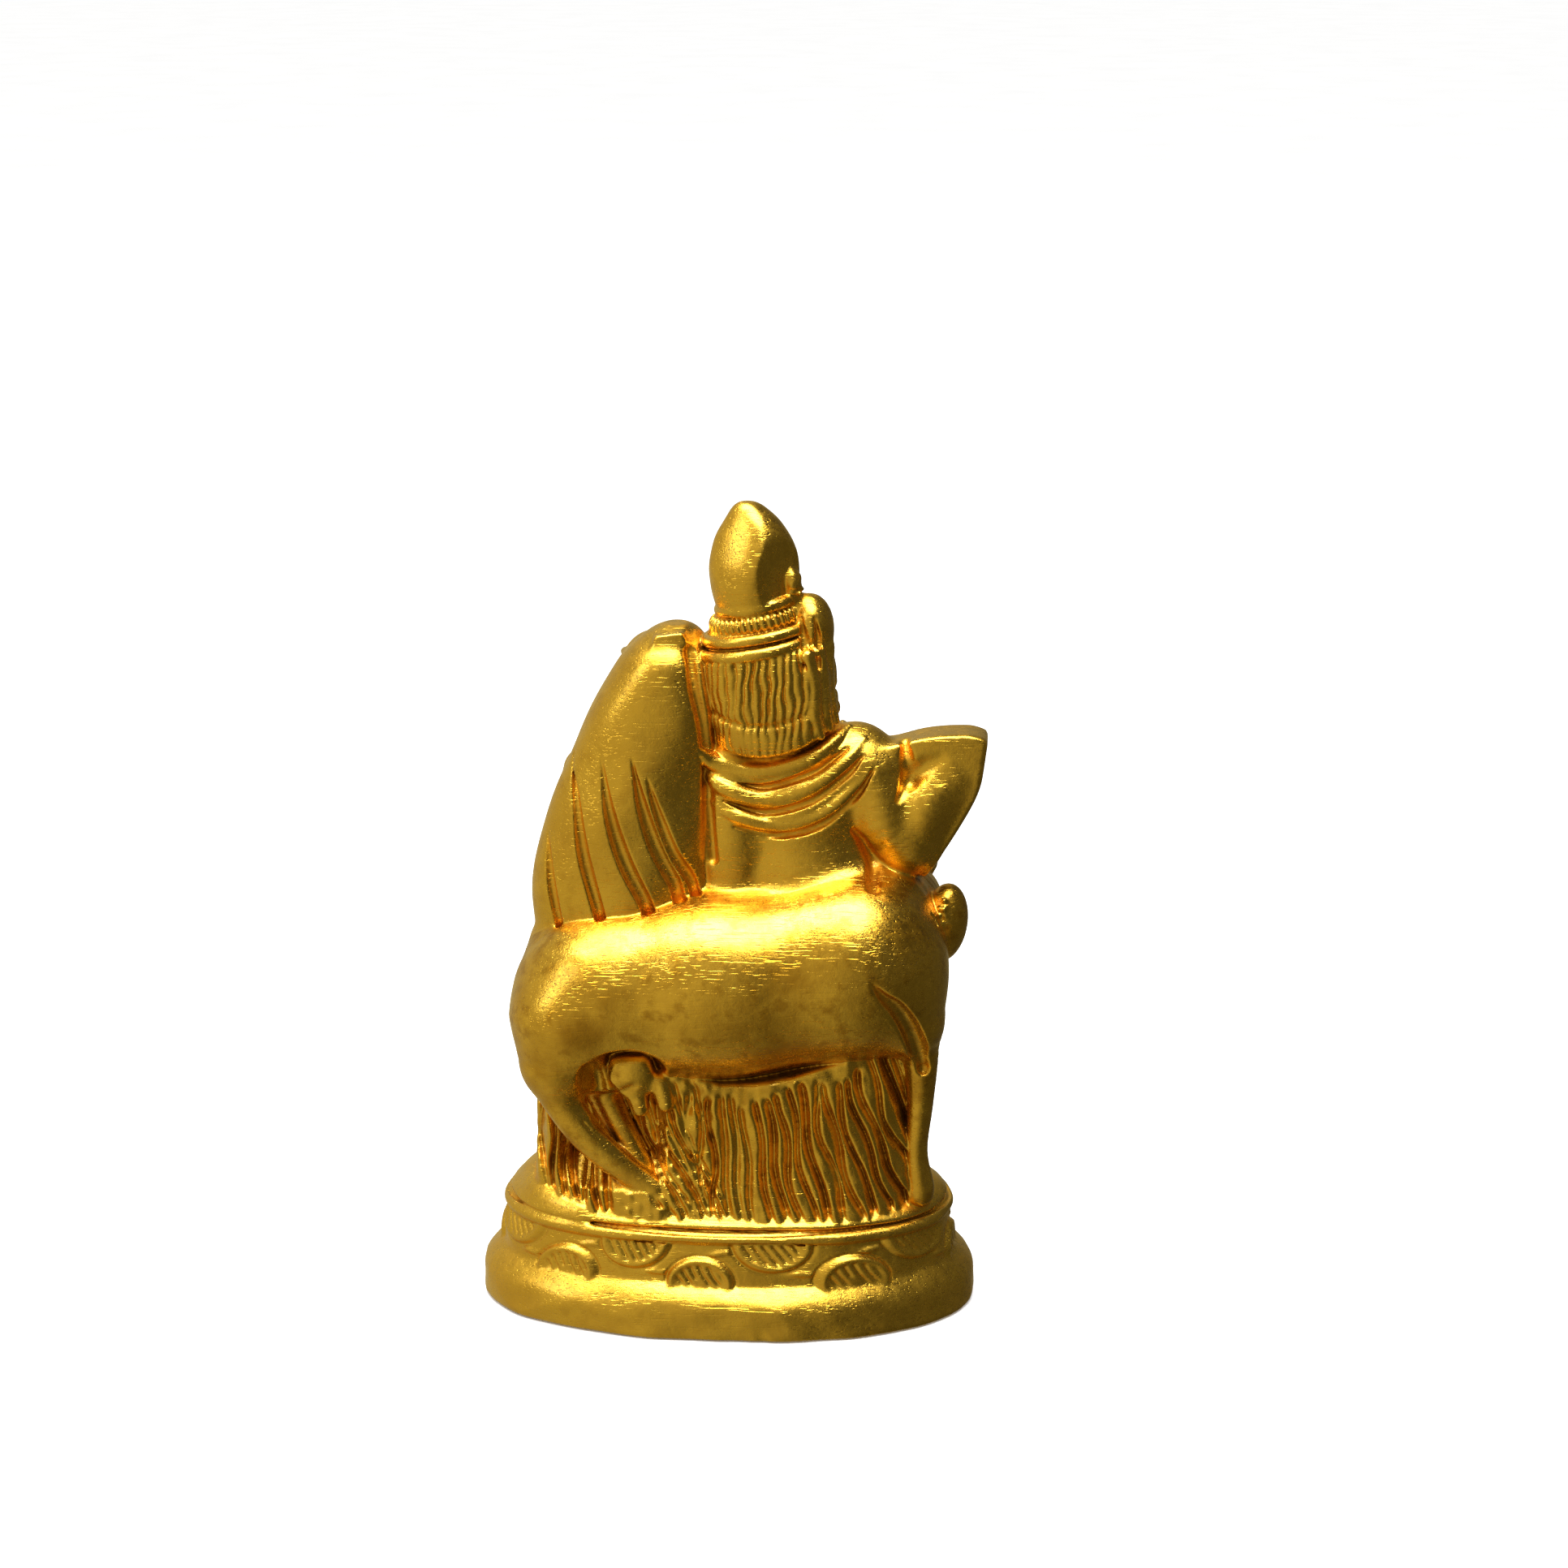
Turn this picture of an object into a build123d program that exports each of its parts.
"""Small brass shrine group: a crowned flute player and a veiled consort in front of a standing cow.

Row frame in millimetres: +Z up, -Y the way the two figures face, origin at the centre of the plinth's
underside. Every sub-part is a closed solid of its own, and neighbours meet face to face.
"""

import math
import os

from build123d import *

# Driving dimensions
HEIGHT = 75.0  # plinth underside to the tip of the crown finial
HALF_WIDTH = 23.0  # of the plinth foot
HALF_DEPTH = 13.2
END_RADIUS = 9.6  # of the two round ends of the plinth's four-arc oval

# Plinth courses, from the bottom up: (height of the course's top, how far it is drawn in)
FOOT = (4.1, 0.0)
BAND = (8.6, 2.3)
RIM = (9.4, 2.2)
DECK = (10.8, 2.6)
FOOT_ROUND = 1.7
DECK_BEVEL = (1.0, 2.2)  # down and in
PETALS = 16
PETAL_RADIUS = 1.9
PETAL_PROUD = 0.45

# Cow, whose head is at the -X end and turned to the front
COW_Y = 3.4
HOOF_HEIGHT = 1.8
HOOF_RADIUS = 1.9
SCREEN_HALF = (17.2, 7.0)
SCREEN_TOP = 25.5
PLEATS = 15
PLEAT_RADIUS = 1.25

# Figures
HEAD_TILT = 9.0  # degrees the player's head leans towards the consort
PLAYER_HEAD = (-3.0, -1.6, 56.6)
CONSORT_HEAD = (6.8, -3.0, 57.6)
FLUTE_RADIUS = 0.8
FINGER_RADIUS = 0.6
JOINT_SLIM = 0.97  # how much slimmer a limb starts again after each joint


def plan(inset):
    """The plinth's plan, an oval of four tangent arcs, drawn in evenly by the inset."""
    centre = HALF_WIDTH - END_RADIUS
    side_radius = (centre**2 + HALF_DEPTH**2 - END_RADIUS**2) / (2 * (HALF_DEPTH - END_RADIUS))
    drop = side_radius - HALF_DEPTH
    turn = math.atan2(drop, centre)
    reach = END_RADIUS - inset
    join_x = centre + reach * math.cos(turn)
    join_y = reach * math.sin(turn)
    end_x = HALF_WIDTH - inset
    side_y = HALF_DEPTH - inset
    return make_face([
        Edge.make_three_point_arc((join_x, -join_y), (end_x, 0), (join_x, join_y)),
        Edge.make_three_point_arc((join_x, join_y), (0, side_y), (-join_x, join_y)),
        Edge.make_three_point_arc((-join_x, join_y), (-end_x, 0), (-join_x, -join_y)),
        Edge.make_three_point_arc((-join_x, -join_y), (0, -side_y), (join_x, -join_y)),
    ])


def course(below, this):
    """One plinth course, from the top of the course below to its own top."""
    top, inset = this
    return Pos(0, 0, below) * extrude(plan(inset), top - below)


def ball(centre, radius):
    return Pos(*centre) * Rot(31, 17, 0) * Sphere(radius)


def taper(start, end, start_radius, end_radius):
    """A straight round shaft between two points."""
    way = Vector(*end) - Vector(*start)
    if start_radius == end_radius:
        shaft = Cylinder(start_radius, way.length)
    else:
        shaft = Cone(start_radius, end_radius, way.length)
    middle = (Vector(*start) + Vector(*end)) * 0.5
    return Plane(middle, z_dir=way).location * shaft


def capsule(start, end, start_radius, end_radius):
    """A round-ended shaft: two balls and the cone that touches both, turned as one solid."""
    way = Vector(*end) - Vector(*start)
    length = way.length
    lean = math.asin((start_radius - end_radius) / length)
    c, s = math.cos(lean), math.sin(lean)
    tail = (0, 0, -start_radius)
    tip = (0, 0, length + end_radius)
    low = (start_radius * c, 0, start_radius * s)
    high = (end_radius * c, 0, length + end_radius * s)
    low_middle = (lean - math.pi / 2) / 2
    high_middle = (lean + math.pi / 2) / 2
    low_bulge = (start_radius * math.cos(low_middle), 0, start_radius * math.sin(low_middle))
    high_bulge = (end_radius * math.cos(high_middle), 0, length + end_radius * math.sin(high_middle))
    profile = make_face([
        Edge.make_three_point_arc(tail, low_bulge, low),
        Edge.make_line(low, high),
        Edge.make_three_point_arc(high, high_bulge, tip),
        Edge.make_line(tip, tail),
    ])
    return Plane(start, z_dir=way).location * revolve(profile, Axis.Z)


def limb(*joints):
    """A limb through (point, radius) joints, one capsule from each joint to the next."""
    shapes = []
    for (start, start_radius), (end, end_radius) in zip(joints, joints[1:]):
        shapes.append(capsule(start, end, JOINT_SLIM * start_radius if shapes else start_radius, end_radius))
    return fuse(shapes)


def fuse(shapes):
    first, *others = shapes
    return first.fuse(*others) if others else first


def above_deck(shape):
    below = extrude(plan(0), DECK[0])
    return shape - below


# ---------------------------------------------------------------- assembly
parts = {}
untrimmed = {}


def apart(shape, other):
    a, b = shape.bounding_box(), other.bounding_box()
    return (
        a.min.X > b.max.X or b.min.X > a.max.X
        or a.min.Y > b.max.Y or b.min.Y > a.max.Y
        or a.min.Z > b.max.Z or b.min.Z > a.max.Z
    )


def add(name, shape, solids=1):
    """Keeps a sub-part, trimmed where earlier sub-parts already hold the space."""
    whole = shape
    for other in untrimmed.values():
        if not apart(shape, other):
            shape = shape - other
    untrimmed[name] = whole
    largest = sorted(shape.solids(), key=lambda solid: solid.volume, reverse=True)
    parts[name] = Compound(largest[:solids])


# ---------------------------------------------------------------- plinth
def plinth_foot():
    foot = course(0, FOOT)
    return fillet(foot.edges().group_by(Axis.Z)[-1], FOOT_ROUND)


def petal_band():
    """The set-back band with a row of half-round petals standing on the foot."""
    band = course(FOOT[0], BAND)
    height = BAND[0] - FOOT[0]
    half_x = HALF_WIDTH - BAND[1] + PETAL_PROUD - PETAL_RADIUS
    half_y = HALF_DEPTH - BAND[1] + PETAL_PROUD - PETAL_RADIUS
    petals = []
    for petal in range(PETALS):
        angle = 2 * math.pi * (petal + 0.5) / PETALS
        place = Pos(half_x * math.cos(angle), half_y * math.sin(angle), FOOT[0] + height / 2)
        petals.append(place * Cylinder(PETAL_RADIUS, height))
    return band.fuse(*petals)


def plinth_deck():
    deck = course(RIM[0], DECK)
    return chamfer(deck.edges().group_by(Axis.Z)[-1], *DECK_BEVEL)


# ---------------------------------------------------------------- cow
def cow_body():
    return limb(((12.0, COW_Y, 29.4), 7.7), ((0.5, COW_Y + 0.2, 31.2), 8.1), ((-12.0, COW_Y, 33.0), 7.7))


def cow_neck():
    return limb(((-14.6, -0.5, 34.5), 5.2), ((-16.6, -5.6, 35.6), 3.8))


def cow_head():
    return limb(((-17.0, -8.4, 35.4), 3.1), ((-17.0, -11.0, 31.8), 2.0))


def cow_horn(side):
    root = (-17.0 + side * 1.8, -7.8, 38.0)
    bend = (-17.0 + side * 3.1, -7.4, 39.6)
    tip = (-17.0 + side * 2.6, -7.6, 41.4)
    return limb((root, 0.95), (bend, 0.75), (tip, 0.4))


def cow_ear(side):
    """The outer ear stands back and up beside the shoulder, the inner one lies out from the neck."""
    if side < 0:
        return limb(((-19.8, -1.0, 34.4), 1.2), ((-19.8, -0.8, 37.4), 1.6), ((-19.4, -0.6, 39.6), 0.9))
    return limb(((-14.2, -8.2, 36.4), 0.9), ((-12.2, -8.6, 37.0), 1.1))


def near_hind_leg():
    return limb(
        ((15.2, 5.2, 26.2), 4.7), ((15.8, 6.6, 22.6), 3.2), ((14.4, 7.3, 18.8), 2.2), ((8.0, 7.1, 12.6), 1.5)
    )


def far_hind_leg():
    return limb(((14.2, -1.0, 25.8), 4.2), ((14.6, -1.4, 21.4), 2.8), ((11.8, 0.4, 12.6), 1.6))


def near_foreleg():
    return limb(((-14.2, 6.4, 28.2), 3.6), ((-15.8, 6.6, 23.4), 2.5), ((-15.5, 5.8, 12.6), 1.6))


def far_foreleg():
    return limb(((-14.6, -0.5, 27.5), 3.4), ((-15.4, -1.2, 22.8), 2.3), ((-15.0, -1.4, 12.6), 1.5))


def hooves():
    feet = []
    for x, y in ((7.6, 7.1), (11.8, 0.6), (-15.4, 5.8), (-15.0, -1.4)):
        place = Pos(x, y, DECK[0] + HOOF_HEIGHT / 2)
        feet.append(place * Cone(HOOF_RADIUS, 0.8 * HOOF_RADIUS, HOOF_HEIGHT))
    return fuse(feet)


def cow_udder():
    bag = ball((8.7, 7.4, 23.1), 2.5)
    teats = [taper((x, 8.2, 21.6), (x, 8.3, 19.9), 0.6, 0.45) for x in (7.7, 9.7)]
    return bag.fuse(*teats)


def cow_tail():
    return limb(((18.2, -1.6, 33.6), 1.1), ((19.3, -2.2, 29.6), 0.95), ((17.8, -2.6, 18.6), 1.25))


def pleated_screen():
    """The web of metal between the cow's legs, whose pleats are the back of the two garments."""
    height = SCREEN_TOP - DECK[0]
    centre = (0.4, 1.6)
    web = Pos(*centre, DECK[0]) * extrude(Ellipse(*SCREEN_HALF), height)
    pleats = []
    for pleat in range(PLEATS):
        angle = math.pi * (pleat + 1) / (PLEATS + 1)
        x = centre[0] + SCREEN_HALF[0] * math.cos(angle)
        y = centre[1] + SCREEN_HALF[1] * math.sin(angle) - PLEAT_RADIUS / 2
        pleats.append(Pos(x, y, DECK[0] + height / 2) * Cylinder(PLEAT_RADIUS, height))
    return web.fuse(*pleats)


# ---------------------------------------------------------------- flute player
def tilted(shape):
    """Places a part of the player's head, drawn about the head's centre, leaning to the consort."""
    return Pos(*PLAYER_HEAD) * Rot(0, HEAD_TILT, 0) * shape


def player_torso():
    shoulders = capsule((-12.0, -1.4, 48.2), (-1.8, -1.2, 49.6), 3.4, 3.2)
    trunk = capsule((-6.3, -1.5, 45.6), (-7.0, -2.6, 38.4), 5.6, 4.6)
    neck = capsule((-5.6, -1.8, 48.0), (-4.2, -1.7, 53.0), 3.0, 2.4)
    return fuse([trunk, shoulders, neck])


def player_standing_leg():
    return limb(((-4.6, -5.6, 31.6), 3.7), ((-4.4, -6.4, 22.8), 2.8), ((-4.3, -6.3, 13.4), 2.0))


def player_crossed_leg():
    return limb(((-9.2, -5.6, 31.6), 3.7), ((-10.0, -7.0, 23.0), 2.8), ((-6.6, -9.2, 14.6), 1.9))


def player_garment():
    """The wrapped lower cloth behind and between the legs, down to the deck."""
    return taper((-7.0, -3.2, DECK[0]), (-6.9, -3.4, 33.0), 6.6, 4.8)


def player_sash():
    """A belt round the hips with one long end hanging in front."""
    belt = Pos(-6.9, -3.8, 36.0) * Cylinder(5.7, 1.9)
    end = capsule((-7.2, -9.0, 35.4), (-7.4, -10.4, 24.4), 0.95, 1.3)
    return belt + end


def player_feet():
    flat = above_deck(limb(((-3.9, -6.6, DECK[0] + 0.8), 1.5), ((-3.9, -9.2, DECK[0] + 0.5), 1.3)))
    pointed = limb(((-5.9, -9.8, DECK[0] + 3.0), 1.4), ((-5.7, -10.2, DECK[0] + 1.1), 1.0))
    return flat + pointed


def player_right_arm():
    upper = limb(((-12.9, -1.2, 49.4), 3.1), ((-16.0, -0.8, 43.6), 3.3))
    forearm = limb(((-16.0, -0.8, 43.6), 3.2), ((-18.8, -1.6, 47.6), 3.2), ((-19.4, -2.0, 51.0), 3.0))
    return upper + forearm


def player_left_arm():
    return limb(((-1.6, -2.6, 48.8), 2.7), ((-0.4, -6.8, 44.0), 2.2), ((-6.0, -9.0, 50.6), 1.7))


def hand(palm):
    """A closed hand: a palm with four curled fingers over the flute."""
    x, y, z = palm
    fingers = [ball((x - 1.2 + 0.8 * finger, y - 1.1, z + 0.8), FINGER_RADIUS) for finger in range(4)]
    return ball(palm, 1.5).fuse(*fingers)


def flute():
    return taper((-1.8, -8.0, 54.4), (-22.6, -6.6, 52.2), FLUTE_RADIUS, FLUTE_RADIUS)


def player_head():
    skull = ball((0, 0, 0.4), 4.6)
    jaw = ball((0, -2.2, -2.6), 2.6)
    nose = taper((0, -4.4, 0.6), (0, -4.9, -1.2), 0.4, 0.8)
    return tilted(fuse([skull, jaw, nose]))


def player_earring(side):
    return tilted(ball((side * 4.9, -1.6, -2.6), 1.05))


def player_hair():
    """Straight hair hanging from the crown to the nape."""
    return tilted(taper((0.3, 1.2, -4.8), (0, 0.9, 4.6), 5.7, 5.1))


def player_side_lock():
    return limb(((-8.6, 0.6, 61.0), 1.5), ((-9.7, 0.6, 57.8), 1.4), ((-10.0, 0.4, 54.4), 1.2))


def crown_ring(height, radius, thickness):
    return tilted(Pos(0, 0.2, height) * Torus(radius, thickness))


def crown_cap():
    return tilted(taper((0, 0.2, 4.6), (0.6, 0.2, 10.2), 4.6, 3.0))


def crown_finial():
    return limb(((-2.0, 0.4, 66.6), 3.0), ((-2.0, 0.4, 69.2), 3.8), ((-1.5, 0.2, HEIGHT - 0.6), 0.6))


def crown_side_plume():
    return capsule((-8.7, 0.2, 64.6), (-8.8, 0.4, 62.4), 1.5, 1.4)


def crown_crest():
    """The pointed leaf on the front of the crown."""
    return tilted(taper((0, -4.6, 4.6), (0, -4.0, 12.2), 1.9, 0.4))


def necklace(centre_z, radius, droop, thickness=0.62):
    """One chain lying on the shoulders, lower at the back."""
    return Pos(-6.2, -0.9, centre_z) * Rot(-droop, 9, 0) * Torus(radius, thickness)


# ---------------------------------------------------------------- consort
def consort_head():
    x, y, z = CONSORT_HEAD
    skull = ball((x, y, z + 0.2), 4.0)
    jaw = ball((x, y - 1.8, z - 2.4), 2.2)
    nose = taper((x, y - 3.8, z + 0.4), (x, y - 4.2, z - 1.1), 0.35, 0.65)
    return fuse([skull, jaw, nose])


def consort_brow_band():
    x, y, z = CONSORT_HEAD
    return Pos(x, y, z + 1.9) * Cylinder(4.05, 1.1)


def consort_torso():
    bust = limb(((10.6, -4.4, 46.8), 3.4), ((7.2, -4.4, 46.8), 3.4))
    waist = limb(((8.8, -4.0, 46.4), 3.9), ((9.2, -4.2, 39.6), 3.5))
    neck = taper((8.2, -3.6, 48.0), (7.4, -3.2, 54.2), 2.5, 1.9)
    return fuse([bust, waist, neck])


def consort_skirt():
    return taper((9.4, -4.6, DECK[0]), (9.2, -4.2, 37.6), 5.9, 3.9)


def consort_veil():
    """The cloth from the crown of the head down the back to the cow."""
    sections = [
        (9.2, 0.6, 36.5, 7.9, 3.8), (9.4, 0.2, 43.0, 8.3, 4.3), (8.9, -0.2, 49.0, 7.0, 4.6),
        (7.9, -0.6, 55.0, 5.0, 4.6), (6.4, -1.0, 62.6, 1.8, 2.4),
    ]
    return loft([Pos(x, y, z) * Ellipse(half_x, half_y) for x, y, z, half_x, half_y in sections])


def consort_left_arm():
    return limb(((13.6, -4.0, 48.4), 2.2), ((15.2, -5.6, 42.6), 1.9), ((11.0, -8.6, 43.8), 1.4))


def consort_right_arm():
    return limb(((4.8, -4.6, 48.6), 2.0), ((3.6, -7.6, 43.0), 1.7), ((0.4, -8.8, 41.6), 1.3))


def consort_hands():
    raised = ball((9.5, -9.4, 44.6), 1.5)
    lowered = ball((-0.9, -9.1, 41.2), 1.4)
    return raised + lowered


def consort_lotus_bud():
    return limb(((9.2, -9.9, 46.8), 0.5), ((9.0, -10.1, 48.8), 1.3), ((8.9, -10.1, 50.4), 0.6))


def consort_necklace():
    return Pos(8.3, -3.6, 49.9) * Rot(24, 0, 0) * Torus(3.4, 0.55)


def consort_feet():
    toes = [ball((x, -9.3, DECK[0] + 0.4), 1.4) for x in (7.4, 11.2)]
    return above_deck(fuse(toes))


def build():
    add("plinth_foot", plinth_foot())
    add("plinth_petal_band", petal_band())
    add("plinth_rim", course(BAND[0], RIM))
    add("plinth_deck", plinth_deck())

    add("cow_body", cow_body())
    add("cow_hooves", hooves(), solids=4)
    add("cow_hind_leg_near", near_hind_leg())
    add("cow_hind_leg_far", far_hind_leg())
    add("cow_foreleg_near", near_foreleg())
    add("cow_foreleg_far", far_foreleg())
    add("cow_udder", cow_udder())
    add("cow_tail", cow_tail())
    add("cow_neck", cow_neck())
    add("cow_head", cow_head())
    add("cow_horns", cow_horn(1) + cow_horn(-1), solids=2)
    add("cow_ears", cow_ear(1) + cow_ear(-1), solids=2)

    add("player_head", player_head())
    add("player_torso", player_torso())
    add("player_hair", player_hair())
    add("player_earrings", player_earring(1) + player_earring(-1), solids=2)
    add("player_side_lock", player_side_lock())
    add("crown_cap", crown_cap())
    add("crown_lower_bands", crown_ring(5.45, 4.7, 0.65) + crown_ring(7.2, 4.35, 0.6), solids=2)
    add("crown_upper_band", crown_ring(9.2, 3.7, 0.6))
    add("crown_finial", crown_finial())
    add("crown_side_plume", crown_side_plume())
    add("crown_crest", crown_crest())
    add("flute", flute())
    add("player_right_arm", player_right_arm())
    add("player_left_arm", player_left_arm())
    add("player_hands", hand((-18.6, -6.4, 51.4)) + hand((-7.0, -8.6, 52.0)), solids=2)
    add("player_standing_leg", player_standing_leg())
    add("player_crossed_leg", player_crossed_leg())
    add("player_feet", player_feet(), solids=2)
    add("player_sash", player_sash())
    for row, (centre_z, radius, droop) in enumerate([(50.4, 5.6, 22), (48.8, 6.6, 26), (47.2, 7.6, 28)]):
        add(f"player_necklace_{row + 1}", necklace(centre_z, radius, droop))

    add("consort_head", consort_head())
    add("consort_torso", consort_torso())
    add("consort_left_arm", consort_left_arm())
    add("consort_right_arm", consort_right_arm())
    add("consort_hands", consort_hands(), solids=2)
    add("consort_lotus_bud", consort_lotus_bud())
    add("consort_brow_band", consort_brow_band())
    add("consort_necklace", consort_necklace())
    add("consort_feet", consort_feet(), solids=2)
    add("consort_skirt", consort_skirt())
    add("player_garment", player_garment())
    add("consort_veil", consort_veil())
    add("pleated_screen", pleated_screen())


build()
os.makedirs("parts", exist_ok=True)
for part_name, part_shape in parts.items():
    export_step(part_shape, f"parts/{part_name}.step")
    print(part_name, len(part_shape.solids()), round(part_shape.volume, 2))
